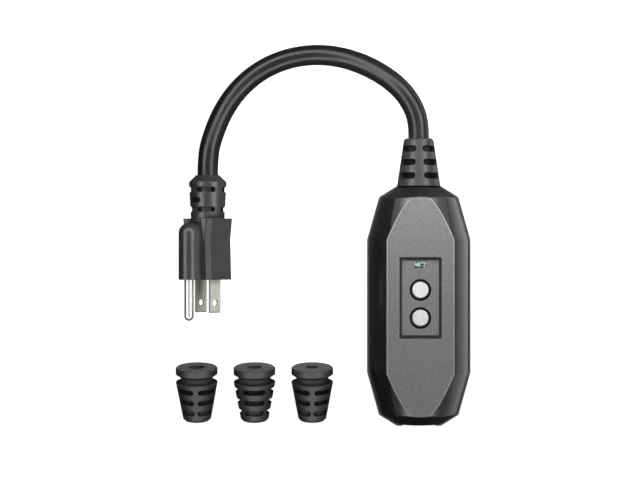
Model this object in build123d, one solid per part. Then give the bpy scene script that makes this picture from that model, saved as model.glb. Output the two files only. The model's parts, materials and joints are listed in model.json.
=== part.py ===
"""In-line ground-fault lead: a moulded plug, a short cord, the tripping module and three cord bushings.

Frame: the origin is the centre of the module's flat back, +Z leaves the button face and +Y points
towards the line cord. Everything lies on the plane z = 0. Millimetres.
"""

from build123d import *
from math import atan2, cos, degrees, pi, radians, sin, tan
import os

# Module housing: a body of revolution about the cord's axis, cut flat at the front and the back
AXIS_Z = 20.8
THICK = AXIS_Z + 19.5
BARREL_R, SHOULDER_R, END_R = 27.0, 20.8, 11.6
BARREL_Y, SHOULDER_Y, END_Y = 34.7, 56.9, 62.6
WALL = 2.6
RIM_SET = 1.0  # how far the front cover's skin lies inside the rim of the rear cover
RIM_H = 1.7
SEAL_T = 0.6
PORT_R = 8.8
EDGE_ROUND = 0.7

# Recessed panel with its window and buttons
PANEL_Y, PANEL_W, PANEL_L = 4.7, 21.8, 42.0
FLOOR_W, FLOOR_L, PANEL_DEEP = 18.9, 38.3, 2.2
FLOOR_Z = THICK - PANEL_DEEP
WELL_R, BUTTON_R, GUIDE_R, GUIDE_WALL = 5.65, 4.2, 4.5, 2.5
WELL_DEEP, GUIDE_END = 3.4, 31.5
RESET_Y, TEST_Y, WINDOW_Y = 8.7, -5.7, 21.6
WINDOW_W, WINDOW_H = 6.1, 2.9
BUTTON_TOP, FLANGE_R, FLANGE_H = 39.2, 5.6, 1.6
PIN_TOP = 26.6
GAP = 0.3  # air between pieces that move past each other

# Circuit board and the mechanism on it
BOARD_W, BOARD_Y0, BOARD_Y1, BOARD_Z, BOARD_T = 33.0, -24.0, 43.0, 10.0, 1.6
BOARD_TOP = BOARD_Z + BOARD_T
BRIDGE_Z, BRIDGE_T = 23.0, 1.2
COIL_Z, COIL_X0, COIL_X1 = 21.6, 10.0, 20.2
PLATE_Z, PLATE_T = 21.2, 0.8  # the latch plate
LED_TOP = 15.4
CORE_Y, CORE_R = 33.0, 9.8
TERMINAL_X = (-8.5, 0.0, 8.5)

# Cord and boots
CORD_R = 5.4
BOOT_TIP_Y, BOOT_BASE_R, BOOT_TIP_R = 87.4, 11.3, 7.8
BOOT_ROWS, BOOT_SLOT = (67.9, 74.9, 81.9), 3.4
CORD_POINTS = [
    (0, 87.4, 20.8),
    (0, 95.2, 20.8),
    (-2.3, 103.2, 20.4),
    (-6.9, 110.9, 19.2),
    (-13.2, 117.4, 17.2),
    (-21.1, 123.1, 14.3),
    (-31.0, 128.2, 11.0),
    (-43.0, 131.9, 8.0),
    (-56.7, 132.9, 6.0),
    (-70.9, 130.3, 5.4),
    (-84.3, 123.9, 5.8),
    (-95.3, 114.1, 7.2),
    (-103.1, 102.3, 9.6),
    (-108.0, 90.0, 12.3),
    (-110.7, 79.0, 14.1),
    (-110.7, 68.5, 14.1),
]

# Plug: its stiff cord holds it rolled about its own axis, with one long edge on the table
PLUG_X, PLUG_Z, PLUG_ROLL = -110.7, 14.1, 52.0
PLUG_FACE_Y, PLUG_TOP_Y = 13.65, 45.7
BLADE_GAP, GROUND_Y, GROUND_R, GROUND_SHANK_R = 12.7, -11.89, 2.415, 1.9
BLADE_W, BLADE_T, BLADE_TIP_Y, GROUND_TIP_Y = 6.35, 1.52, -3.7, -7.8
NOSE_R, NOSE_TOP_Y = 5.4, 43.4
PLUG_LOW, PLUG_HIGH = -7.9, 7.0
BEVEL_W, BEVEL_H = 2.75, 1.3

# Loose cord bushings
BUSH_X = {"large": -116.7, "medium": -86.2, "small": -55.7}
BUSH_BORE_R = {"large": 4.4, "medium": 3.775, "small": 3.25}
BUSH_L, BUSH_R, BUSH_TIP_R, BUSH_NECK_R = 28.7, 11.0, 7.2, 8.5
FLANGE_T, NECK_START, NECK_END = 3.5, 5.2, 8.0
BUSH_FLANGE_Y = -32.6
BUSH_ROWS, BUSH_SLOT, BUSH_SLOT_FLOOR_R = (11.7, 17.6, 23.5), 3.0, 6.3


def box(x, y, z):
    """A box between two limits on each axis."""
    middle = Pos((x[0] + x[1]) / 2, (y[0] + y[1]) / 2, (z[0] + z[1]) / 2)
    return middle * Box(x[1] - x[0], y[1] - y[0], z[1] - z[0])


def rod(radius, start, end):
    """A cylinder from one point to another."""
    way = Vector(*end) - Vector(*start)
    seat = Plane(origin=start, z_dir=way)
    return seat * Cylinder(radius, way.length, align=(Align.CENTER, Align.CENTER, Align.MIN))


def tube(outer, inner, start, end):
    """A hollow cylinder from one point to another."""
    way = (Vector(*end) - Vector(*start)).normalized()
    return rod(outer, start, end) - rod(inner, Vector(*start) - way, Vector(*end) + way)


def wire(radius, points, bend):
    """A wire along a bent route, swept from its first point."""
    path = FilletPolyline(*points, radius=bend)
    seat = Plane(origin=points[0], z_dir=Vector(*points[1]) - Vector(*points[0]))
    return sweep(seat * Circle(radius), path)


def screw(head_r, head_t, shaft_r, length, at, way):
    """A pan-head screw: its head's seat is at a point, and its shaft runs along a direction."""
    seat = Plane(origin=at, z_dir=way)
    shaft = Cylinder(shaft_r, length, align=(Align.CENTER, Align.CENTER, Align.MIN))
    head = Cylinder(head_r, head_t, align=(Align.CENTER, Align.CENTER, Align.MAX))
    slots = [Pos(0, 0, -head_t) * Rot(0, 0, a) * Box(head_r * 1.3, head_t * 0.4, head_t) for a in (0, 90)]
    return seat * (shaft + head - slots)


def spring(radius, wire_r, turns, at, height):
    """A compression spring that stands on a point."""
    run = height - 2 * wire_r
    path = Pos(at[0], at[1], at[2] + wire_r) * Helix(run / turns, run, radius)
    return sweep(Plane(origin=path @ 0, z_dir=path % 0) * Circle(wire_r), path)


def around(axis_plane, profile, angle=360):
    """Turns a profile of (along the axis, radius) points about the plane's own Z axis."""
    face = make_face(Polyline(*[(r, along) for along, r in profile], close=True))
    return axis_plane * revolve(Plane.XZ * face, Axis.Z, angle)


def ring_slots(inner, outer, height, along, middles, half):
    """Slots with round ends, cut through a wall round the Z axis."""
    slots = []
    for middle in middles:
        band = Plane.XZ * Pos((inner + outer) / 2, along) * Rectangle(outer - inner, height)
        ends = half - degrees(height / 2 / inner) * 0.8
        slots.append(Rot(0, 0, middle - ends) * revolve(band, Axis.Z, 2 * ends))
        for side in (-ends, ends):
            a = radians(middle + side)
            start = (inner * cos(a), inner * sin(a), along)
            slots.append(rod(height / 2, start, (outer * cos(a), outer * sin(a), along)))
    return slots


# ---------------------------------------------------------------- module housing

MODULE_AXIS = Plane(origin=(0, 0, AXIS_Z), x_dir=(1, 0, 0), z_dir=(0, 1, 0))


def envelope(inward, low, high):
    """The housing's outer form moved inward, between two heights."""
    right = [(0, -END_Y), (END_R, -END_Y), (SHOULDER_R, -SHOULDER_Y), (BARREL_R, -BARREL_Y)]
    outline = right + [(x, -y) for x, y in reversed(right)]
    face = make_face(Polyline(*outline, *[(-x, y) for x, y in reversed(outline[1:-1])], close=True))
    if inward:
        face = offset(face, amount=-inward, kind=Kind.INTERSECTION)
    face &= Pos(BARREL_R, 0) * Rectangle(2 * BARREL_R, 3 * END_Y)
    turned = revolve(face, Axis.Y)
    return Pos(0, 0, AXIS_Z) * turned & box((-40, 40), (-80, 80), (low, high))


def skin(inward, low, high, open_z):
    """The outer form with its edges rounded, all but those round the open side."""
    solid = envelope(inward, low, high)
    return fillet([edge for edge in solid.edges() if abs(edge.center().Z - open_z) > 0.01], EDGE_ROUND)


def cavity():
    """The space inside both covers."""
    return envelope(WALL, WALL, THICK - WALL)


COVER_SCREWS = [(-7.5, 47.5), (7.5, 47.5), (-13.2, -28.5), (13.2, -28.5)]
BOARD_SCREWS = [(-13.0, 38.0), (13.0, 38.0), (-13.0, -20.0), (13.0, -20.0)]
CLAMP_Y, CLAMP_W, CLAMP_X = -51.0, 4.0, 9.0
SPLIT_LOW, SPLIT_HIGH = AXIS_Z - SEAL_T / 2, AXIS_Z + SEAL_T / 2


def ports():
    """Round openings at both ends, in which the boot and a bushing are gripped by their necks."""
    return [rod(PORT_R, (0, s * (END_Y - 8), AXIS_Z), (0, s * (END_Y + 8), AXIS_Z)) for s in (-1, 1)]


def rear_cover():
    rim_top = SPLIT_HIGH + RIM_H
    shell = skin(0, 0, rim_top, rim_top) - envelope(RIM_SET - 0.1, SPLIT_LOW, THICK) - cavity()
    bosses = [rod(3.2, (x, y, 1), (x, y, SPLIT_LOW)) for x, y in COVER_SCREWS]
    bosses += [rod(3.0, (x, y, 1), (x, y, BOARD_Z)) for x, y in BOARD_SCREWS]
    bosses += [box((-8, 8), (y - 1, y + 1), (1, 6)) for y in (-45, -34)]
    saddle = box((-12, 12), (CLAMP_Y - CLAMP_W / 2, CLAMP_Y + CLAMP_W / 2), (1, AXIS_Z - 1))
    inside = (Part() + bosses + saddle) & envelope(WALL / 2, 0, THICK)
    holes = [rod(3.0, (x, y, -1), (x, y, 2.8)) for x, y in COVER_SCREWS]
    holes += [rod(1.75, (x, y, 0), (x, y, 30)) for x, y in COVER_SCREWS]
    holes += [rod(1.2, (x, y, 4), (x, y, 30)) for x, y in BOARD_SCREWS]
    holes += [rod(1.2, (x, CLAMP_Y, 12), (x, CLAMP_Y, 30)) for x in (-CLAMP_X, CLAMP_X)]
    holes.append(rod(5.5, (0, CLAMP_Y - 4, AXIS_Z), (0, CLAMP_Y + 4, AXIS_Z)))
    return shell + inside - holes - ports()


def panel_pocket():
    """The recess in the button face, with sloping walls."""
    top = Pos(0, PANEL_Y, THICK) * Rectangle(PANEL_W, PANEL_L)
    floor = Pos(0, PANEL_Y, FLOOR_Z) * Rectangle(FLOOR_W, FLOOR_L)
    lead = Pos(0, PANEL_Y, THICK + 0.5) * Box(PANEL_W, PANEL_L, 1)
    return loft([floor, top], ruled=True) + lead


def front_cover():
    shell = skin(RIM_SET, SPLIT_HIGH, THICK, SPLIT_HIGH) - cavity()
    backing = box((-13.0, 13.0), (PANEL_Y - 23, PANEL_Y + 23), (FLOOR_Z - WALL, THICK - 1))
    guides = [rod(GUIDE_R + GUIDE_WALL, (0, y, GUIDE_END), (0, y, FLOOR_Z - 1)) for y in (RESET_Y, TEST_Y)]
    bosses = [rod(3.2, (x, y, SPLIT_HIGH), (x, y, THICK - 1)) for x, y in COVER_SCREWS]
    inside = (Part() + bosses) & envelope(RIM_SET + WALL / 3, 0, THICK - 1)
    holes = [rod(WELL_R, (0, y, FLOOR_Z - WELL_DEEP), (0, y, THICK)) for y in (RESET_Y, TEST_Y)]
    holes += [rod(GUIDE_R, (0, y, 20), (0, y, THICK)) for y in (RESET_Y, TEST_Y)]
    holes += [rod(1.5, (x, y, 0), (x, y, 32)) for x, y in COVER_SCREWS]
    holes.append(window_block(0, 0, 30, THICK))
    return shell + backing + guides + inside - holes - panel_pocket() - ports()


def cover_seal():
    """The flat seal between the covers, inside the rim."""
    ring = envelope(RIM_SET + 0.1, SPLIT_LOW, SPLIT_HIGH) - envelope(WALL - 0.2, 0, THICK)
    return ring - ports()


def cover_screws():
    seats = [(x, y, 2.8) for x, y in COVER_SCREWS]
    return Compound(children=[screw(2.7, 2.0, 1.5, 26.0, seat, (0, 0, 1)) for seat in seats])


def window_block(grow_w, grow_h, low, high):
    half_w, half_h = WINDOW_W / 2 + grow_w, WINDOW_H / 2 + grow_h
    return box((-half_w, half_w), (WINDOW_Y - half_h, WINDOW_Y + half_h), (low, high))


def indicator_lens():
    """The window and its light pipe, held by a collar behind the panel."""
    window = window_block(-0.05, -0.05, 34.0, FLOOR_Z + 0.25)
    collar = window_block(1.0, 0.9, 35.0, FLOOR_Z - WALL)
    return window + collar + rod(1.2, (0, WINDOW_Y, LED_TOP + 1), (0, WINDOW_Y, 34.5))


def button_seal(y):
    return tube(WELL_R - 0.05, GUIDE_R, (0, y, FLOOR_Z - WELL_DEEP), (0, y, FLOOR_Z - 0.6))


# ---------------------------------------------------------------- buttons and mechanism


def button(y, stem_r, stem_end):
    """A round push button: its cap, the flange that stops it and its stem."""
    cap = rod(BUTTON_R, (0, y, GUIDE_END - GAP), (0, y, BUTTON_TOP))
    cap = chamfer(cap.edges().group_by(Axis.Z)[-1], 0.4)
    flange = rod(FLANGE_R, (0, y, GUIDE_END - GAP - FLANGE_H), (0, y, GUIDE_END - GAP))
    stem = rod(stem_r, (0, y, stem_end), (0, y, GUIDE_END - GAP - FLANGE_H / 2))
    return cap + flange + stem


def button_spring(y, wire_r, turns):
    """The spring between the bridge and a button's flange."""
    seat = BRIDGE_Z + BRIDGE_T
    return spring(3.4, wire_r, turns, (0, y, seat), GUIDE_END - GAP - FLANGE_H - seat)


def reset_pin():
    """The latching pin, with the groove that the latch plate grips."""
    pin = rod(1.2, (0, RESET_Y, 13.9), (0, RESET_Y, PIN_TOP))
    return pin - tube(2.0, 0.8, (0, RESET_Y, 20.0), (0, RESET_Y, 20.9))


def mechanism_bridge():
    """The moulded bridge over the contacts: both buttons' springs stand on it."""
    low_y, high_y = TEST_Y - 6.0, RESET_Y + 8.0
    top = box((-8.6, 8.6), (low_y, high_y), (BRIDGE_Z, BRIDGE_Z + BRIDGE_T))
    walls = [box((-8.6, 8.6), (y, y + 1.2), (BOARD_TOP, BRIDGE_Z)) for y in (RESET_Y - 8.2, high_y - 1.2)]
    posts = [box((x, x + 1.4), (low_y, low_y + 1.4), (BOARD_TOP, BRIDGE_Z)) for x in (-8.6, 7.2)]
    holes = [rod(r, (0, y, 20), (0, y, 26)) for r, y in ((1.9, RESET_Y), (2.1, TEST_Y))]
    return top + walls + posts - holes


ARM_Y = (RESET_Y - 3.6, RESET_Y + 3.6)


def about_reset(half):
    """Limits on Y that lie evenly about the reset pin."""
    return RESET_Y - half, RESET_Y + half


def contact_carrier():
    block = box((-8.0, 7.4), about_reset(6.2), (17.4, 21.0))
    slots = [box((-9, -4), (y - 1.6, y + 1.6), (18.9, 19.7)) for y in ARM_Y]
    return block - slots - rod(1.6, (0, RESET_Y, 10), (0, RESET_Y, 30))


def contact_arms():
    return Compound(children=[box((-14.6, -4.2), (y - 1.5, y + 1.5), (19.0, 19.6)) for y in ARM_Y])


def moving_contacts():
    return Compound(children=[rod(1.4, (-12.9, y, 19.6), (-12.9, y, 20.4)) for y in ARM_Y])


def fixed_contacts():
    return Compound(children=[rod(1.4, (-12.9, y, 20.7), (-12.9, y, 21.5)) for y in ARM_Y])


def contact_blades():
    """The bent brass strips that hold the fixed contacts over the moving ones."""
    blades = []
    for y in ARM_Y:
        strip = box((-16.2, -11.2), (y - 1.5, y + 1.5), (21.5, 22.2))
        blades.append(strip + box((-16.2, -15.5), (y - 1.5, y + 1.5), (BOARD_TOP, 21.8)))
    return Compound(children=blades)


def latch_plate():
    """The sliding plate that grips the pin, with the slot that lets it go."""
    plate = box((-6.0, 8.5), about_reset(2.6), (PLATE_Z, PLATE_Z + PLATE_T))
    slot = box((-0.2, 1.4), (RESET_Y - 1.5, RESET_Y + 1.5), (20, 23))
    ends = [rod(1.5, (x, RESET_Y, 20), (x, RESET_Y, 23)) for x in (-0.2, 1.4)]
    return plate - slot - ends


def trip_plunger():
    core = rod(1.8, (11.6, RESET_Y, COIL_Z), (19.4, RESET_Y, COIL_Z))
    return core + rod(0.9, (8.8, RESET_Y, COIL_Z), (11.8, RESET_Y, COIL_Z))


def coil_yoke():
    base = box((9.2, 21.4), about_reset(4.4), (15.2, 16.2))
    ends = [box(x, about_reset(4.4), (16.0, 26.4)) for x in ((9.2, COIL_X0), (COIL_X1, 21.4))]
    feet = [box((x, x + 1.0), about_reset(1.5), (BOARD_TOP, 15.4)) for x in (9.2, 15.0)]
    return base + ends + feet - rod(1.4, (8, RESET_Y, COIL_Z), (12, RESET_Y, COIL_Z))


def coil_bobbin():
    start, end = (COIL_X0, RESET_Y, COIL_Z), (COIL_X1, RESET_Y, COIL_Z)
    body = rod(2.9, start, end)
    rims = [rod(4.9, (x, RESET_Y, COIL_Z), (x + 0.8, RESET_Y, COIL_Z)) for x in (COIL_X0, COIL_X1 - 0.8)]
    return body + rims - rod(2.1, (8, RESET_Y, COIL_Z), (22, RESET_Y, COIL_Z))


def trip_coil():
    return tube(4.6, 2.9, (COIL_X0 + 0.8, RESET_Y, COIL_Z), (COIL_X1 - 0.8, RESET_Y, COIL_Z))


LEAF_Y0, LEAF_Z = TEST_Y - 6.5, 20.9
LEAF_T = 0.4


def test_leaf():
    return box((-1.6, 1.6), (LEAF_Y0, TEST_Y + 3.2), (LEAF_Z, LEAF_Z + LEAF_T))


def test_contact():
    """The leaf's anchor and the post that it is pressed onto."""
    anchor = box((-1.6, 1.6), (LEAF_Y0 - 2.1, LEAF_Y0 - GAP), (BOARD_TOP, LEAF_Z + LEAF_T))
    post = rod(1.0, (0, TEST_Y + 2, BOARD_TOP), (0, TEST_Y + 2, 18.2))
    return Compound(children=[anchor, post])


# ---------------------------------------------------------------- circuit board


def circuit_board():
    board = box((-BOARD_W / 2, BOARD_W / 2), (BOARD_Y0, BOARD_Y1), (BOARD_Z, BOARD_TOP))
    holes = [rod(1.5, (x, y, 5), (x, y, 15)) for x, y in BOARD_SCREWS]
    holes += [rod(1.7, (x, CORE_Y, 5), (x, CORE_Y, 15)) for x in (-1.8, 1.8)]
    return board - holes


def board_screws():
    seats = [(x, y, BOARD_TOP) for x, y in BOARD_SCREWS]
    return Compound(children=[screw(2.5, 1.4, 1.2, 6.5, seat, (0, 0, -1)) for seat in seats])


def transformer_housing():
    """The open cup round both cores, with its middle tube."""
    outer = tube(CORE_R, CORE_R - 0.8, (0, CORE_Y, BOARD_TOP), (0, CORE_Y, 23.6))
    floor = tube(CORE_R, 3.9, (0, CORE_Y, BOARD_TOP), (0, CORE_Y, BOARD_TOP + 0.8))
    return outer + floor + tube(4.6, 3.9, (0, CORE_Y, BOARD_TOP), (0, CORE_Y, 23.6))


def toroid(low):
    """A wound core: a square-edged ring with rounded corners."""
    ring = tube(8.8, 4.9, (0, CORE_Y, low), (0, CORE_Y, low + 5.0))
    return fillet(ring.edges().filter_by(GeomType.CIRCLE), 0.8)


def capacitors():
    places = ((13.2, 25.0), (-13.2, 20.2))
    return Compound(children=[rod(2.6, (x, y, BOARD_TOP), (x, y, BOARD_TOP + 8)) for x, y in places])


def resistors():
    places = ((2.6, -21.0), (5.4, -21.0), (-14.0, -10.0), (-11.0, -10.0))
    high = BOARD_TOP + 1.2
    return Compound(children=[rod(1.1, (x, y, high), (x, y + 5, high)) for x, y in places])


def varistor():
    disc = rod(4.4, (-14.6, 31.0, 18.2), (-11.0, 31.0, 18.2))
    legs = [rod(0.4, (-12.8, y, BOARD_TOP), (-12.8, y, 15.0)) for y in (28.5, 33.5)]
    return disc + legs


def thyristor():
    """The switching device that fires the coil, with its tab standing up."""
    body = box((10.6, 14.6), (-13.0, -5.0), (14.0, 19.0))
    legs = [box((12.2, 12.9), (y, y + 0.6), (BOARD_TOP, 14.2)) for y in (-11.5, -9.3, -7.1)]
    return body + legs


def control_chip():
    body = box((-5.6, 0.4), (-21.6, -17.6), (BOARD_TOP + 0.3, BOARD_TOP + 1.8))
    legs = [box((x, x + 0.5), (-22.6, -16.6), (BOARD_TOP, BOARD_TOP + 0.5)) for x in (-5.1, -3.7, -2.0, -0.6)]
    return body + legs


def indicator_led():
    """A round lamp on its wider foot, under the light pipe."""
    lamp = rod(1.2, (0, WINDOW_Y, BOARD_TOP), (0, WINDOW_Y, LED_TOP))
    return lamp + rod(1.45, (0, WINDOW_Y, BOARD_TOP), (0, WINDOW_Y, BOARD_TOP + 0.8))


# ---------------------------------------------------------------- wiring


def terminal_block():
    base = box((-13.4, 13.4), (-47.6, -32.0), (6.0, 10.0))
    barriers = [box((x - 0.6, x + 0.6), (-47.0, -32.4), (10.0, 19.0)) for x in (-12.6, -4.25, 4.25, 12.6)]
    return base + barriers


def load_terminal(x):
    """A brass box terminal with its wire tunnel and its screw hole."""
    body = box((x - 3.2, x + 3.2), (-46.0, -33.0), (10.0, 17.6))
    return body - rod(2.1, (x, -47, 13.4), (x, -36, 13.4)) - rod(1.5, (x, -40, 13), (x, -40, 20))


def terminal_screws():
    return Compound(children=[screw(2.4, 1.6, 1.5, 3.6, (x, -40, 17.6), (0, 0, -1)) for x in TERMINAL_X])


def busbars():
    """The strips from the board to the two switched terminals."""
    z = (BOARD_TOP, BOARD_TOP + 0.8)
    switched = (TERMINAL_X[0], TERMINAL_X[2])
    return Compound(children=[box((x - 1.2, x + 1.2), (-33.0, -21.5), z) for x in switched])


def cord_clamp():
    """The bar that pinches the load cord onto the saddle."""
    y = (CLAMP_Y - CLAMP_W / 2, CLAMP_Y + CLAMP_W / 2)
    bar = box((-11.5, 11.5), y, (AXIS_Z + 1.0, AXIS_Z + 8.0))
    holes = [rod(1.45, (x, CLAMP_Y, 15), (x, CLAMP_Y, 32)) for x in (-CLAMP_X, CLAMP_X)]
    return bar - holes - rod(5.5, (0, CLAMP_Y - 4, AXIS_Z), (0, CLAMP_Y + 4, AXIS_Z))


def clamp_screws():
    seats = [(x, CLAMP_Y, AXIS_Z + 8.0) for x in (-CLAMP_X, CLAMP_X)]
    return Compound(children=[screw(2.4, 1.6, 1.2, 16.0, seat, (0, 0, -1)) for seat in seats])


def line_wire(x):
    """A supply wire: over the cores' housing and down through the cores."""
    points = [(x, 54, 22.0), (x, 50.5, 22.0), (x, 43, 27.6), (x, CORE_Y, 28.4), (x, CORE_Y, BOARD_TOP - 2)]
    return wire(1.5, points, 2.4)


def ground_wire():
    """The unswitched wire, which runs under the board to its own terminal."""
    points = [(0, 54, 17.2), (0, 51, 17.2), (0, 46, 7.2), (0, -26, 7.2), (0, -29, 13.2), (0, -33, 13.2)]
    return wire(1.4, points, 1.6)


def line_jacket():
    """The cord's jacket, from the boot's mouth to where its wires part."""
    return rod(CORD_R, (0, 54, AXIS_Z), (0, BOOT_TIP_Y, AXIS_Z))


def line_boot():
    """The slotted strain relief, gripped in the end wall by its neck."""
    inner = END_Y - WALL
    profile = [
        (inner - 3.0, 10.2), (inner, 10.2), (inner, PORT_R), (END_Y, PORT_R), (END_Y, BOOT_BASE_R),
        (BOOT_TIP_Y - 0.9, BOOT_TIP_R), (BOOT_TIP_Y, BOOT_TIP_R - 0.9), (BOOT_TIP_Y, CORD_R),
        (inner - 3.0, CORD_R),
    ]
    boot = around(MODULE_AXIS, profile)
    for row in BOOT_ROWS:
        slots = ring_slots(CORD_R + 0.6, BOOT_BASE_R + 2, BOOT_SLOT, row, (45, 135, 225, 315), 36)
        boot -= [MODULE_AXIS * slot for slot in slots]
    return boot


# ---------------------------------------------------------------- cord and plug


def cord_route():
    """The middle line of the free cord: straight runs, and at each bend the largest arc that they allow."""
    ways = [Vector(*b) - Vector(*a) for a, b in zip(CORD_POINTS, CORD_POINTS[1:])]
    radii = []
    for one, two in zip(ways, ways[1:]):
        half = radians(one.get_angle(two)) / 2
        radii.append(0.45 * min(one.length, two.length) / tan(half))
    print("cord radii in mm:", [round(r, 1) for r in radii])
    return FilletPolyline(*CORD_POINTS, radius=radii)


def cord():
    path = cord_route()
    start = Plane(origin=CORD_POINTS[0], z_dir=(0, 1, 0))
    made = sweep(start * Circle(CORD_R), path)
    print(f"cord length {path.length:.1f} mm, volume over section times length "
          f"{made.volume / (pi * CORD_R ** 2 * path.length):.4f}")
    return made


# The plug's own frame: x across the blades, y away from the ground pin, z from the face to the boot
PLUG_FRAME = Plane(
    origin=(PLUG_X, 0, PLUG_Z),
    x_dir=(cos(radians(PLUG_ROLL)), 0, sin(radians(PLUG_ROLL))),
    z_dir=(0, 1, 0),
)


def plug_section(along, half_w):
    """A section across the plug's body, bevelled along the ground side."""
    side = half_w - BEVEL_W
    corners = [(half_w, PLUG_LOW + BEVEL_H), (half_w, PLUG_HIGH - 1), (half_w - 1, PLUG_HIGH)]
    outline = [(side, PLUG_LOW)] + corners
    outline += [(-x, y) for x, y in reversed(outline)]
    return Pos(0, 0, along) * make_face(Polyline(*outline, close=True))


def plug_nose():
    """The round column over the ground pin, with its arched top."""
    spring_y = NOSE_TOP_Y - NOSE_R
    column = rod(NOSE_R, (0, GROUND_Y, PLUG_FACE_Y), (0, GROUND_Y, spring_y))
    dome = Pos(0, GROUND_Y, spring_y) * Sphere(NOSE_R)
    web = box((-NOSE_R, NOSE_R), (GROUND_Y, 0), (PLUG_FACE_Y, spring_y))
    arch = rod(NOSE_R, (0, 0, spring_y), (0, GROUND_Y, spring_y))
    return column + dome + web + arch


def shoulder_groove(side):
    """A V groove that deepens towards the top, beside the nose."""
    seat = Plane(origin=(side * 8.0, PLUG_LOW, 33), x_dir=(1, 0, 0), z_dir=(0, 0.13, 1))
    vee = make_face(Polyline((-9, -5), (9, -5), (0, 0), close=True))
    return extrude(seat * vee, 16)


def plug_core_solid():
    """The inner bridge that holds the prongs, with the tube round the cord's end."""
    bridge = box((-8.6, 8.6), (-6.0, 5.2), (16.5, 40)) + box((-3.8, 3.8), (-15.0, -5.0), (16.5, 36))
    return bridge + rod(6.3, (0, 0, 39), (0, 0, 63.4))


def plug_body():
    sections = [plug_section(PLUG_FACE_Y, 12.5), plug_section(34.5, 11.6), plug_section(PLUG_TOP_Y, 13.2)]
    block = loft(sections[:2], ruled=True) + loft(sections[1:], ruled=True)
    boot = around(Plane.XY, [(44, 0), (44, 8.85), (PLUG_TOP_Y, 8.8), (64.8, 9.9), (68.5, 6.1), (68.5, 0)])
    body = block - [shoulder_groove(side) for side in (-1, 1)] + plug_nose() + boot
    for row, middles in ((50.5, (47, 137, 227, 317)), (55.4, (88, 268)), (60.9, (47, 137, 227, 317))):
        body -= ring_slots(6.3, 12, 2.9, row, middles, 35)
    return PLUG_FRAME * (body - plug_core_solid() - rod(CORD_R, (0, 0, 60), (0, 0, 70)) - prongs_local())


def blade_local(side):
    """A flat blade with its hole, its bevelled tip and the shank inside the plug."""
    x = side * BLADE_GAP / 2
    blade = box((x - BLADE_T / 2, x + BLADE_T / 2), (-BLADE_W / 2, BLADE_W / 2), (BLADE_TIP_Y, 34))
    blade = chamfer(blade.edges().group_by(Axis.Z)[0].filter_by(Axis.Y), 0.55)
    return blade - rod(1.75, (x - 3, 0, 1.4), (x + 3, 0, 1.4))


def ground_local():
    """The round pin with its domed tip, on a thinner shank inside the plug."""
    dome_y = GROUND_TIP_Y + GROUND_R
    pin = rod(GROUND_R, (0, GROUND_Y, dome_y), (0, GROUND_Y, PLUG_FACE_Y))
    shank = rod(GROUND_SHANK_R, (0, GROUND_Y, PLUG_FACE_Y), (0, GROUND_Y, 34))
    return pin + shank + Pos(0, GROUND_Y, dome_y) * Sphere(GROUND_R)


def prongs_local():
    return [blade_local(-1), blade_local(1), ground_local()]


def plug_core():
    core = plug_core_solid() - rod(CORD_R, (0, 0, 44), (0, 0, 70)) - prongs_local()
    pocket = box((-7.8, 7.8), (-5.0, 2.0), (34, 41)) + box((-2.6, 2.6), (-12.8, -4.0), (34, 35.2))
    return PLUG_FRAME * (core - pocket - rod(CORD_R, (0, 0, 38), (0, 0, 45)))


def plug_wires():
    """The wires that part from the jacket and end in crimps on the prongs."""
    ends = ((-BLADE_GAP / 2, 0), (BLADE_GAP / 2, 0), (0, -3.4))
    wires = [rod(1.2, (x * 0.45, y * 0.7, 44), (x, y, 34)) & box((-9, 9), (-9, 9), (34, 44)) for x, y in ends]
    strap = box((-1.2, 1.2), (GROUND_Y - 0.5, -4.4), (34, 34.8))
    return PLUG_FRAME * Compound(children=wires[:2] + [wires[2] + strap])


def plug_jacket():
    return PLUG_FRAME * rod(CORD_R, (0, 0, 44), (0, 0, 68.5))


# ---------------------------------------------------------------- loose bushings


def bushing(size):
    """A slotted rubber bushing that lies on its cone, flange towards +Y."""
    bore = BUSH_BORE_R[size]
    tip = BUSH_L
    flange = [(0, bore), (0, BUSH_R - 0.5), (0.5, BUSH_R), (FLANGE_T, BUSH_R)]
    neck = [(NECK_START, BUSH_NECK_R), (NECK_END, BUSH_NECK_R)]
    cone = [(NECK_END, BUSH_R), (tip - 1.0, BUSH_TIP_R + 0.2), (tip, BUSH_TIP_R - 0.8), (tip, bore)]
    body = around(Plane.XY, flange + neck + cone)
    middles = (0, 90, 180, 270) if size == "medium" else (45, 135, 225, 315)
    for row in BUSH_ROWS:
        body -= ring_slots(BUSH_SLOT_FLOOR_R, BUSH_R + 3, BUSH_SLOT, row, middles, 40.9)
    lean = atan2(BUSH_R - BUSH_TIP_R - 0.2, BUSH_L - 1.0 - NECK_END)
    height = BUSH_R * cos(lean) + NECK_END * sin(lean)
    seat = Plane(
        origin=(BUSH_X[size], BUSH_FLANGE_Y, height),
        x_dir=(0, sin(lean), cos(lean)),
        z_dir=(0, -cos(lean), -sin(lean)),
    )
    return seat * body


# ---------------------------------------------------------------- all pieces

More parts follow.
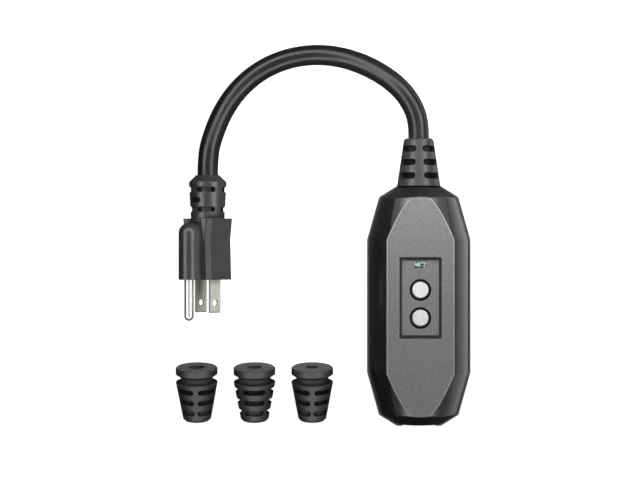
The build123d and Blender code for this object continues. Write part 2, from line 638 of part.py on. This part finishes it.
PARTS = {
    "rear_cover": rear_cover(),
    "front_cover": front_cover(),
    "cover_seal": cover_seal(),
    "cover_screws": cover_screws(),
    "indicator_lens": indicator_lens(),
    "reset_seal": button_seal(RESET_Y),
    "test_seal": button_seal(TEST_Y),
    "reset_button": button(RESET_Y, 2.0, PIN_TOP),
    "reset_pin": reset_pin(),
    "reset_spring": button_spring(RESET_Y, 0.4, 3.5),
    "test_button": button(TEST_Y, 1.0, LEAF_Z + 2 * LEAF_T),
    "test_spring": button_spring(TEST_Y, 0.35, 4),
    "test_leaf": test_leaf(),
    "test_contact": test_contact(),
    "mechanism_bridge": mechanism_bridge(),
    "contact_carrier": contact_carrier(),
    "contact_arms": contact_arms(),
    "moving_contacts": moving_contacts(),
    "fixed_contacts": fixed_contacts(),
    "contact_blades": contact_blades(),
    "latch_plate": latch_plate(),
    "trip_plunger": trip_plunger(),
    "coil_yoke": coil_yoke(),
    "coil_bobbin": coil_bobbin(),
    "trip_coil": trip_coil(),
    "circuit_board": circuit_board(),
    "board_screws": board_screws(),
    "transformer_housing": transformer_housing(),
    "sense_core": toroid(BOARD_TOP + 0.9),
    "neutral_core": toroid(BOARD_TOP + 6.2),
    "capacitors": capacitors(),
    "resistors": resistors(),
    "varistor": varistor(),
    "thyristor": thyristor(),
    "control_chip": control_chip(),
    "indicator_led": indicator_led(),
    "terminal_block": terminal_block(),
    "load_terminal_hot": load_terminal(TERMINAL_X[0]),
    "load_terminal_ground": load_terminal(TERMINAL_X[1]),
    "load_terminal_neutral": load_terminal(TERMINAL_X[2]),
    "terminal_screws": terminal_screws(),
    "busbars": busbars(),
    "cord_clamp": cord_clamp(),
    "clamp_screws": clamp_screws(),
    "line_wire_hot": line_wire(-1.8),
    "line_wire_neutral": line_wire(1.8),
    "line_wire_ground": ground_wire(),
    "line_jacket": line_jacket(),
    "line_boot": line_boot(),
    "cord": cord(),
    "plug_body": plug_body(),
    "plug_core": plug_core(),
    "blade_hot": PLUG_FRAME * blade_local(-1),
    "blade_neutral": PLUG_FRAME * blade_local(1),
    "ground_pin": PLUG_FRAME * ground_local(),
    "plug_wires": plug_wires(),
    "plug_jacket": plug_jacket(),
    "bushing_large": bushing("large"),
    "bushing_medium": bushing("medium"),
    "bushing_small": bushing("small"),
}

os.makedirs("parts", exist_ok=True)
for name, piece in PARTS.items():
    export_step(piece, f"parts/{name}.step")
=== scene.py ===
import bpy
import json
from math import cos, radians, sin
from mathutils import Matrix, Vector


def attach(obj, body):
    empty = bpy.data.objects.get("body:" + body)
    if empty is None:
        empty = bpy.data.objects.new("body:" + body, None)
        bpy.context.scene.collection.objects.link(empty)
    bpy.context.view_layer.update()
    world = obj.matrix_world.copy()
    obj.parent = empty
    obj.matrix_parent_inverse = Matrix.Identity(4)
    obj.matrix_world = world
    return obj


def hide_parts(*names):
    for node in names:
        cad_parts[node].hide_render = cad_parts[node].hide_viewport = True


# Places and sizes are in metres, in the CAD's frame. Colours are linear.
MM = 0.001

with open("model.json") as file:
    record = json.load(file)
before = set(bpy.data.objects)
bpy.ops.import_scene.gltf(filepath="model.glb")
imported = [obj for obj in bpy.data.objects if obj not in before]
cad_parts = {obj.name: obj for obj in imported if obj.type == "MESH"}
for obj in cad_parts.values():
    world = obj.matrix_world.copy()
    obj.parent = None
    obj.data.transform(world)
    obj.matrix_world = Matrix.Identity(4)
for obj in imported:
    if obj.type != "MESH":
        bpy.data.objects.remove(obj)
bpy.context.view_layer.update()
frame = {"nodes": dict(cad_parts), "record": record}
nodes = frame["nodes"]
scene = bpy.context.scene
scene.view_settings.view_transform = "Standard"

# ---------------------------------------------------------------- camera

VIEW_CENTRE = Vector((-0.0516, 0.0344, 0.0170))
# How wide the view is at its centre's height, and how far above that the camera is
VIEW_WIDTH = 0.336
CAMERA_HEIGHT = 1.0
CLIP_NEAR, CLIP_FAR = 0.01, 20
SENSOR = 36.0


def make_camera():
    """A camera over the layout, looking straight down, with +Y up in the picture."""
    data = bpy.data.cameras.new("camera")
    data.sensor_width = SENSOR
    data.lens = SENSOR * CAMERA_HEIGHT / VIEW_WIDTH
    data.clip_start, data.clip_end = CLIP_NEAR, CLIP_FAR
    camera = bpy.data.objects.new("camera", data)
    camera.location = VIEW_CENTRE + Vector((0, 0, CAMERA_HEIGHT))
    scene.collection.objects.link(camera)
    scene.camera = camera


make_camera()

# ---------------------------------------------------------------- cord

CORD_RADIUS = 5.4 * MM
# The free cord's route from the module's boot to the plug's boot, in millimetres
CORD_POINTS = [
    (0, 87.4, 20.8),
    (0, 95.2, 20.8),
    (-2.3, 103.2, 20.4),
    (-6.9, 110.9, 19.2),
    (-13.2, 117.4, 17.2),
    (-21.1, 123.1, 14.3),
    (-31.0, 128.2, 11.0),
    (-43.0, 131.9, 8.0),
    (-56.7, 132.9, 6.0),
    (-70.9, 130.3, 5.4),
    (-84.3, 123.9, 5.8),
    (-95.3, 114.1, 7.2),
    (-103.1, 102.3, 9.6),
    (-108.0, 90.0, 12.3),
    (-110.7, 79.0, 14.1),
    (-110.7, 68.5, 14.1),
]
STEPS_PER_POINT = 12
FACETS_PER_QUARTER = 11


def make_cord():
    """The free cord: a smooth tube along its route. It rides with the module, and so does the plug."""
    curve = bpy.data.curves.new("cord_jacket", "CURVE")
    curve.dimensions = "3D"
    line = curve.splines.new("NURBS")
    line.points.add(len(CORD_POINTS) - 1)
    for point, place in zip(line.points, CORD_POINTS):
        point.co = (*[value * MM for value in place], 1)
        point.radius = CORD_RADIUS
    line.order_u = 3
    line.use_endpoint_u = True
    line.resolution_u = STEPS_PER_POINT
    # The tube's radius is this depth times each point's radius
    curve.bevel_depth = 1
    curve.bevel_resolution = FACETS_PER_QUARTER
    curve.use_fill_caps = True
    cord = bpy.data.objects.new("cord_jacket", curve)
    scene.collection.objects.link(cord)
    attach(cord, "housing")
    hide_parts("cord")
    return cord


cord = make_cord()

# ---------------------------------------------------------------- materials

# Sockets of a colour Mix node
MIX_FACTOR, MIX_ONE, MIX_TWO, MIX_RESULT = 0, 6, 7, 2
# Cosine of the angle between the rounded and the true normal, where an edge is full and where it ends
EDGE_TURN = (0.9, 0.995)
EDGE_SAMPLES = 6
# How much of the sky a face sees, from a hollow in full painted shade, black, to an open face without it
OPEN_SKY = (0.55, 0.9)
SKY_SAMPLES = 8


def put(tree, socket, value):
    """Links a node's output to a socket, or sets the socket to a constant."""
    if isinstance(value, bpy.types.NodeSocket):
        tree.links.new(value, socket)
    else:
        socket.default_value = value


def shade(colour, factor):
    """A colour made darker or paler, and never brighter than white."""
    return tuple(min(1.0, value * factor) for value in colour)


class Shader:
    """A procedural material: helpers that add nodes and link them."""

    def __init__(self, name):
        self.material = bpy.data.materials.new(name)
        self.material.use_nodes = True
        self.tree = self.material.node_tree
        self.bsdf = self.tree.nodes["Principled BSDF"]
        self.place = self.add("ShaderNodeTexCoord").outputs["Object"]

    def add(self, kind, inputs=None, **settings):
        """A new node, with its inputs linked or set."""
        node = self.tree.nodes.new(kind)
        for key, value in settings.items():
            setattr(node, key, value)
        for key, value in (inputs or {}).items():
            put(self.tree, node.inputs[key], value)
        return node

    def noise(self, size, detail=2.0, rough=0.5, stretch=None):
        """Noise whose grains are about that many metres across."""
        place = self.place
        if stretch:
            place = self.add("ShaderNodeMapping", {"Vector": place, "Scale": stretch}).outputs[0]
        return self.add("ShaderNodeTexNoise", {"Vector": place, "Scale": 1 / size, "Detail": detail,
                                               "Roughness": rough}).outputs["Fac"]

    def remap(self, value, low, high, to_low=0, to_high=1):
        """Stretches low..high to to_low..to_high, and holds the ends."""
        return self.add("ShaderNodeMapRange", {"Value": value, "From Min": low, "From Max": high,
                                               "To Min": to_low, "To Max": to_high}).outputs["Result"]

    def mix(self, factor, one, two):
        """The first colour where the factor is 0, and the second where it is 1."""
        node = self.add("ShaderNodeMix", data_type="RGBA")
        put(self.tree, node.inputs[MIX_FACTOR], factor)
        for key, colour in ((MIX_ONE, one), (MIX_TWO, two)):
            put(self.tree, node.inputs[key], (*colour, 1) if isinstance(colour, tuple) else colour)
        return node.outputs[MIX_RESULT]

    def shades(self, value, span, colour, low, high):
        """The colour times low where the value is at the span's start, and times high at its end."""
        return self.mix(self.remap(value, *span), shade(colour, low), shade(colour, high))

    def edges(self, radius):
        """1 along sharp edges and 0 elsewhere, and the normal that rounds those edges."""
        soft = self.add("ShaderNodeBevel", {"Radius": radius}, samples=EDGE_SAMPLES).outputs["Normal"]
        flat = self.add("ShaderNodeNewGeometry").outputs["Normal"]
        dot = self.add("ShaderNodeVectorMath", {0: soft, 1: flat}, operation="DOT_PRODUCT")
        return self.remap(dot.outputs["Value"], *EDGE_TURN, 1, 0), soft

    def facing(self, axis):
        """How nearly a face looks along an axis of the frame, either way: 1 along it, 0 square to it."""
        normal = self.add("ShaderNodeNewGeometry").outputs["Normal"]
        share = self.add("ShaderNodeSeparateXYZ", {"Vector": normal}).outputs[axis]
        return self.add("ShaderNodeMath", {0: share}, operation="ABSOLUTE").outputs[0]

    def unshaded_share(self, shade_reach):
        """1 on open faces, falling to 0 deep in slots, wells and corners, where shade is painted into the
        colour.
        """
        sky = self.add("ShaderNodeAmbientOcclusion", {"Distance": shade_reach}, samples=SKY_SAMPLES).outputs["AO"]
        return self.remap(sky, *OPEN_SKY)

    def times(self, one, two):
        return self.add("ShaderNodeMath", {0: one, 1: two}, operation="MULTIPLY").outputs[0]

    def bump(self, height, distance, strength, under=None):
        """The normal of a surface that the height raises, over another normal where one is given."""
        inputs = {"Height": height, "Distance": distance, "Strength": strength}
        if under is not None:
            inputs["Normal"] = under
        return self.add("ShaderNodeBump", inputs).outputs["Normal"]

    def finish(self, **sockets):
        """Fills the shader's own sockets and gives the material."""
        for key, value in sockets.items():
            put(self.tree, self.bsdf.inputs[key.replace("_", " ")], value)
        return self.material


# The numbers of each kind of material come before its function. A size is that of the noise's grains,
# a span is where the noise runs from one side to the other, and shades are what it does to the colour.

# Detail and roughness of the noise that makes grains and marks
GRAIN = (3, 0.6)
WIDE_SPAN = (0.3, 0.7)

MOTTLE_SIZE, MOTTLE_SPAN, MOTTLE_SHADES = 0.012, (0.35, 0.65), (0.9, 1.1)
SPECK_SPAN, SPECK_SHADE = (0.4, 0.7), 1.35
# The pale colour that edges turn to: partly rubbed wear, partly a painted highlight
RUBBED_AND_LIT = (0.5, 0.5, 0.5)
# Painted shade: the share of the colour left deep in hollows, and the roughness there
PAINTED_HOLLOW_SHADE, HOLLOW_ROUGH = 0.05, 0.95
# How squarely an end face looks along Y, from where its painted light, a paler colour as if lit from above,
# starts to where it is full
LIT_CROWN_FROM = (0.93, 0.97)


def moulded(name, colour, rough, grain=0.00045, depth=0.00003, rounding=0.0002, wear_and_highlight=0.35, gloss=0.5,
            shade_reach=0.0, flat=None, lit_crown=None):
    """Moulded plastic or rubber: a fine sparked grain, faint flow mottling and paler edges, partly rubbed
    wear and partly a painted highlight.
    grain and depth are the grain's width and height, rounding is the edges' radius, and wear is how pale
    the edges are, from rubbing and from a painted highlight.
    reach is the size of the slots and wells that get painted shade, black inside.
    flat is the paler colour of the broad flat faces, which are grained, where the rest is smooth; the
    paleness is partly that grained finish and partly painted sheen.
    crown is painted light: a paler colour on the end faces, square to Y, as if lit from above."""
    s = Shader(name)
    edge, normal = s.edges(rounding)
    fine = s.noise(grain, *GRAIN)
    mottled = s.shades(s.noise(MOTTLE_SIZE), MOTTLE_SPAN, colour, *MOTTLE_SHADES)
    tone = s.mix(s.remap(fine, *SPECK_SPAN), mottled, shade(colour, SPECK_SHADE))
    ground, height = rough, 1.0
    if flat:
        tone, ground, height = flat_faces_with_sheen(s, flat, fine, tone, rough)
    # Painted light: end faces square to Y made paler, as if lit from above
    if lit_crown:
        tone = s.mix(s.remap(s.facing("Y"), *LIT_CROWN_FROM), tone, lit_crown)
    # Paler edges: partly rubbed wear, partly a painted highlight
    tone = s.mix(s.remap(edge, 0, 1, 0, wear_and_highlight), tone, RUBBED_AND_LIT)
    # Painted shade: slots, wells and corners darkened towards black, and made rougher
    if shade_reach:
        unshaded = s.unshaded_share(shade_reach)
        tone = s.mix(unshaded, shade(colour, PAINTED_HOLLOW_SHADE), tone)
        ground = s.remap(unshaded, 0, 1, HOLLOW_ROUGH, ground)
    s.bsdf.inputs["Specular IOR Level"].default_value = gloss
    return s.finish(Base_Color=tone, Normal=s.bump(fine, depth, height, normal), Roughness=ground)


# How level a face is, from 0 upright to 1 lying flat: the broad flat faces, paler partly by painted sheen,
# and where the rounded edge round them, with its painted highlight, begins, above the steep flanks, and
# ends, below the flat
FLAT_SHEEN_FROM = (0.97, 0.998)
HIGHLIGHT_RIM_FROM, HIGHLIGHT_RIM_TO = (0.725, 0.75), (0.985, 0.999)
# The painted highlight along that edge fades to a share of its strength where the edge turns to the ends
HIGHLIGHT_SHADE, HIGHLIGHT_FADE, HIGHLIGHT_SHARE = 2.6, (0.1, 0.24), 0.12
FLAT_SPAN, FLAT_SHADES, FLAT_ROUGHER = (0.38, 0.62), (0.72, 1.3), 0.15
# What the grain's height is off the flat faces, where it is 1 on them
SMOOTH_HEIGHT = 0.25


def flat_faces_with_sheen(s, flat, fine, tone, rough):
    """Colour, roughness and grain's height of a shell whose broad flat faces are grained and paler, partly
    by painted sheen, and whose rounded edge round them has a painted highlight.
    """
    level = s.facing("Z")
    # The flat faces take the paler grained colour: partly a grained finish, partly painted sheen
    sheen_zone = s.remap(level, *FLAT_SHEEN_FROM)
    # Painted highlight: a pale line along the rounded edge round the flat faces
    highlight_rim = s.times(s.remap(level, *HIGHLIGHT_RIM_FROM), s.remap(level, *HIGHLIGHT_RIM_TO, 1, 0))
    line = s.times(highlight_rim, s.remap(s.facing("Y"), *HIGHLIGHT_FADE, 1, HIGHLIGHT_SHARE))
    grained = s.shades(fine, FLAT_SPAN, flat, *FLAT_SHADES)
    colour = s.mix(line, s.mix(sheen_zone, tone, grained), shade(flat, HIGHLIGHT_SHADE))
    return colour, s.remap(sheen_zone, 0, 1, rough, rough + FLAT_ROUGHER), s.remap(sheen_zone, 0, 1, SMOOTH_HEIGHT, 1)


JACKET_GRAIN, JACKET_DEPTH, JACKET_STRENGTH = 0.0007, 0.00002, 0.4
JACKET_PATCH, JACKET_SHADES, JACKET_SMOOTHER, JACKET_ROUGHER = 0.02, (0.85, 1.15), 0.04, 0.05


def jacket(name, colour, rough):
    """A cord's jacket: smooth, with a faint grain and a little uneven gloss."""
    s = Shader(name)
    broad = s.noise(JACKET_PATCH)
    return s.finish(Base_Color=s.shades(broad, WIDE_SPAN, colour, *JACKET_SHADES),
                    Normal=s.bump(s.noise(JACKET_GRAIN, *GRAIN), JACKET_DEPTH, JACKET_STRENGTH),
                    Roughness=s.remap(broad, *WIDE_SPAN, rough - JACKET_SMOOTHER, rough + JACKET_ROUGHER))


METAL_EDGE, METAL_EDGE_WEAR, METAL_EDGE_SHADE = 0.00015, 0.5, 1.2
METAL_MARKS, METAL_STRENGTH = 0.0004, 0.5
METAL_PATCH, METAL_SHADES = 0.004, (0.93, 1.04)
METAL_SMOOTHER, METAL_ROUGHER = 0.8, 1.25


def metal(name, colour, rough, stretch=(1, 1, 1), solid=1.0, depth=0.000004):
    """Plated or rolled metal: fine drawing marks and uneven polish.
    stretch draws the marks out along an axis, and depth is their height.
    solid is below 1 for a bright, slightly milky plating."""
    s = Shader(name)
    edge, normal = s.edges(METAL_EDGE)
    marks = s.noise(METAL_MARKS, *GRAIN, stretch)
    tone = s.shades(s.noise(METAL_PATCH), WIDE_SPAN, colour, *METAL_SHADES)
    worn = s.mix(s.remap(edge, 0, 1, 0, METAL_EDGE_WEAR), tone, shade(colour, METAL_EDGE_SHADE))
    return s.finish(Base_Color=worn, Metallic=solid, Normal=s.bump(marks, depth, METAL_STRENGTH, normal),
                    Roughness=s.remap(marks, *WIDE_SPAN, rough * METAL_SMOOTHER, rough * METAL_ROUGHER))


CLEAR_PATCH, CLEAR_SPAN = 0.0016, (0.45, 0.55)
CLEAR_RIPPLE, CLEAR_DEPTH, CLEAR_STRENGTH = 0.0012, 0.00005, 0.5
CLEAR_POLISH, CLEAR_ROUGHER = 0.001, 0.05
ACRYLIC_IOR = 1.49


def clear(name, colour, rough=0.08, through=0.85, dark=1.0):
    """Clear or tinted plastic. through is the share of light that it lets by.
    dark is what its patches do to the colour, as if something dark behind them showed."""
    s = Shader(name)
    s.bsdf.inputs["Transmission Weight"].default_value = through
    s.bsdf.inputs["IOR"].default_value = ACRYLIC_IOR
    return s.finish(Base_Color=s.shades(s.noise(CLEAR_PATCH), CLEAR_SPAN, colour, 1, dark),
                    Roughness=s.remap(s.noise(CLEAR_POLISH), *WIDE_SPAN, rough, rough + CLEAR_ROUGHER),
                    Normal=s.bump(s.noise(CLEAR_RIPPLE), CLEAR_DEPTH, CLEAR_STRENGTH))


MATERIALS = {
    "shell_black": moulded("shell_black", (0.01, 0.01, 0.0105), 0.26, rounding=0.0004, wear_and_highlight=0.35, gloss=0.9,
                           shade_reach=0.004, flat=(0.135, 0.135, 0.1365)),
    "boot_black": moulded("boot_black", (0.035, 0.035, 0.036), 0.3, grain=0.0006, wear_and_highlight=0.2,
                          shade_reach=0.004),
    "cord_black": jacket("cord_black", (0.012, 0.012, 0.0125), 0.27),
    "plug_black": moulded("plug_black", (0.052, 0.052, 0.053), 0.25, depth=0.00007, wear_and_highlight=0.4, gloss=0.7,
                          shade_reach=0.01),
    "bushing_rubber": moulded("bushing_rubber", (0.042, 0.042, 0.043), 0.45, grain=0.0005, wear_and_highlight=0.4,
                              gloss=0.5, shade_reach=0.005, lit_crown=(0.17, 0.17, 0.172)),
    "seal_rubber": moulded("seal_rubber", (0.004, 0.004, 0.004), 0.8, wear_and_highlight=0.0, gloss=0.1),
    "button_white": moulded("button_white", (0.71, 0.697, 0.697), 0.4, wear_and_highlight=0.0),
    "window_clear": clear("window_clear", (0.7, 0.85, 0.76), through=0.3, dark=0.1),
    "blade_nickel": metal("blade_nickel", (0.84, 0.85, 0.77), 0.38, (1, 6, 1), solid=0.8),
    "pin_chrome": metal("pin_chrome", (0.93, 0.93, 0.93), 0.3, (6, 1, 6), solid=0.85, depth=0.000001),
    "steel": metal("steel", (0.6, 0.6, 0.61), 0.35),
    "brass": metal("brass", (0.75, 0.56, 0.27), 0.35),
    "silver_contact": metal("silver_contact", (0.85, 0.85, 0.83), 0.3),
    "copper_winding": metal("copper_winding", (0.7, 0.32, 0.16), 0.35),
    "board_green": moulded("board_green", (0.02, 0.13, 0.06), 0.3),
    "inner_plastic": moulded("inner_plastic", (0.68, 0.66, 0.6), 0.5, wear_and_highlight=0.0),
    "core_grey": moulded("core_grey", (0.16, 0.18, 0.2), 0.4),
    "component_black": moulded("component_black", (0.02, 0.02, 0.021), 0.5),
    "component_blue": moulded("component_blue", (0.03, 0.1, 0.35), 0.3),
    "component_tan": moulded("component_tan", (0.55, 0.4, 0.25), 0.4),
    "led_clear": clear("led_clear", (0.6, 0.9, 0.65)),
    "wire_black": moulded("wire_black", (0.02, 0.02, 0.02), 0.35),
    "wire_white": moulded("wire_white", (0.75, 0.75, 0.73), 0.35, wear_and_highlight=0.0),
    "wire_green": moulded("wire_green", (0.02, 0.25, 0.06), 0.35),
}


def dress(piece, slot):
    """Gives a piece its material."""
    piece.data.materials.clear()
    piece.data.materials.append(MATERIALS[slot])


for entry in frame["record"]["subparts"]:
    dress(nodes[entry["node"]], entry["material_slot"])
dress(cord, "cord_black")

# ---------------------------------------------------------------- floor and light

FLOOR_SIZE = 30
FLOOR_DROP = 0.2 * MM
FLOOR_GREY = (0.62, 0.62, 0.62)
FLOOR_ROUGH = 0.9
FLOOR_GLOW = 0.9
WHITE = (1, 1, 1, 1)
# What glossy and clear pieces see of the floor: dark, but for a pale, glowing part right of the module
MIRRORED_DARK, MIRRORED_PALE, MIRRORED_GLOW = (0.07, 0.07, 0.07), (0.8, 0.8, 0.8), 0.4
PALE_FROM = (0.03, 0.05)
# The dim room that all but the camera sees
ROOM = 0.05


def make_floor():
    """A floor that is white to the camera and keeps shadows."""
    bpy.ops.mesh.primitive_plane_add(size=FLOOR_SIZE, location=(0, 0, -FLOOR_DROP))
    floor = bpy.context.object
    floor.name = "floor"
    s = Shader("floor")
    path = s.add("ShaderNodeLightPath")
    rays = {0: path.outputs["Is Glossy Ray"], 1: path.outputs["Is Transmission Ray"]}
    mirrored = s.add("ShaderNodeMath", rays, operation="MAXIMUM").outputs[0]
    side = s.remap(s.add("ShaderNodeSeparateXYZ", {"Vector": s.place}).outputs["X"], *PALE_FROM)
    shares = {0: s.times(mirrored, s.remap(side, 0, 1, 0, MIRRORED_GLOW)),
              1: s.remap(path.outputs["Is Camera Ray"], 0, 1, 0, FLOOR_GLOW)}
    glow = s.add("ShaderNodeMath", shares, operation="ADD").outputs[0]
    s.bsdf.inputs["Specular IOR Level"].default_value = 0
    floor.data.materials.append(s.finish(
        Base_Color=s.mix(mirrored, FLOOR_GREY, s.mix(side, MIRRORED_DARK, MIRRORED_PALE)),
        Roughness=FLOOR_ROUGH, Emission_Color=WHITE, Emission_Strength=glow))


def make_world():
    """White to the camera, and a dim grey room to everything else."""
    world = bpy.data.worlds.new("world")
    scene.world = world
    world.use_nodes = True
    tree = world.node_tree
    back = tree.nodes["Background"]
    path = tree.nodes.new("ShaderNodeLightPath")
    strength = tree.nodes.new("ShaderNodeMapRange")
    put(tree, strength.inputs["To Min"], ROOM)
    put(tree, strength.inputs["To Max"], 1.0)
    put(tree, strength.inputs["Value"], path.outputs["Is Camera Ray"])
    put(tree, back.inputs["Strength"], strength.outputs["Result"])
    put(tree, back.inputs["Color"], WHITE)


# The middle of the module, the lead and the bushings
LAYOUT = Vector((-0.05, 0.03, 0.02))
# A ring of soft boxes round the camera, seen in glossy pieces only:
# how many, degrees above the table, distance, size, and watts each
RING_COUNT, RING_LIFT, RING_DISTANCE, RING_SIZE, RING_POWER = 8, 46, 1.1, (0.85, 0.5), 3.6
# Two lamps that light without showing in glossy pieces: place, aim, size, and watts
DIFFUSE_LAMPS = {
    "over": (LAYOUT + Vector((0, 0.25, 1.2)), LAYOUT, (1.2, 1.2), 6.6),
    "near": (Vector((0, 0.12, 0.14)), Vector((0, 0.12, 0)), (0.1, 0.1), 0.26),
}


def around_layout(bearing, lift, distance):
    """A place seen from the layout at a bearing from +X and a lift from the table, in degrees."""
    turn, rise = radians(bearing), radians(lift)
    return LAYOUT + Vector((cos(turn) * cos(rise), sin(turn) * cos(rise), sin(rise))) * distance


def area_light(name, place, aim, size, power):
    """A rectangular lamp that faces its aim."""
    data = bpy.data.lights.new(name, "AREA")
    data.shape = "RECTANGLE"
    data.size, data.size_y = size
    data.energy = power
    light = bpy.data.objects.new(name, data)
    light.location = place
    light.rotation_euler = (aim - place).to_track_quat("-Z", "Y").to_euler()
    scene.collection.objects.link(light)
    return light


def make_lights():
    """The ring, which only glossy pieces show, and the two lamps, which none of them shows."""
    for number in range(RING_COUNT):
        place = around_layout(360 * number / RING_COUNT, RING_LIFT, RING_DISTANCE)
        area_light(f"ring_{number}", place, LAYOUT, RING_SIZE, RING_POWER).visible_diffuse = False
    for name, settings in DIFFUSE_LAMPS.items():
        area_light(name, *settings).visible_glossy = False


make_floor()
make_world()
make_lights()

# ---------------------------------------------------------------- update

bpy.context.view_layer.update()
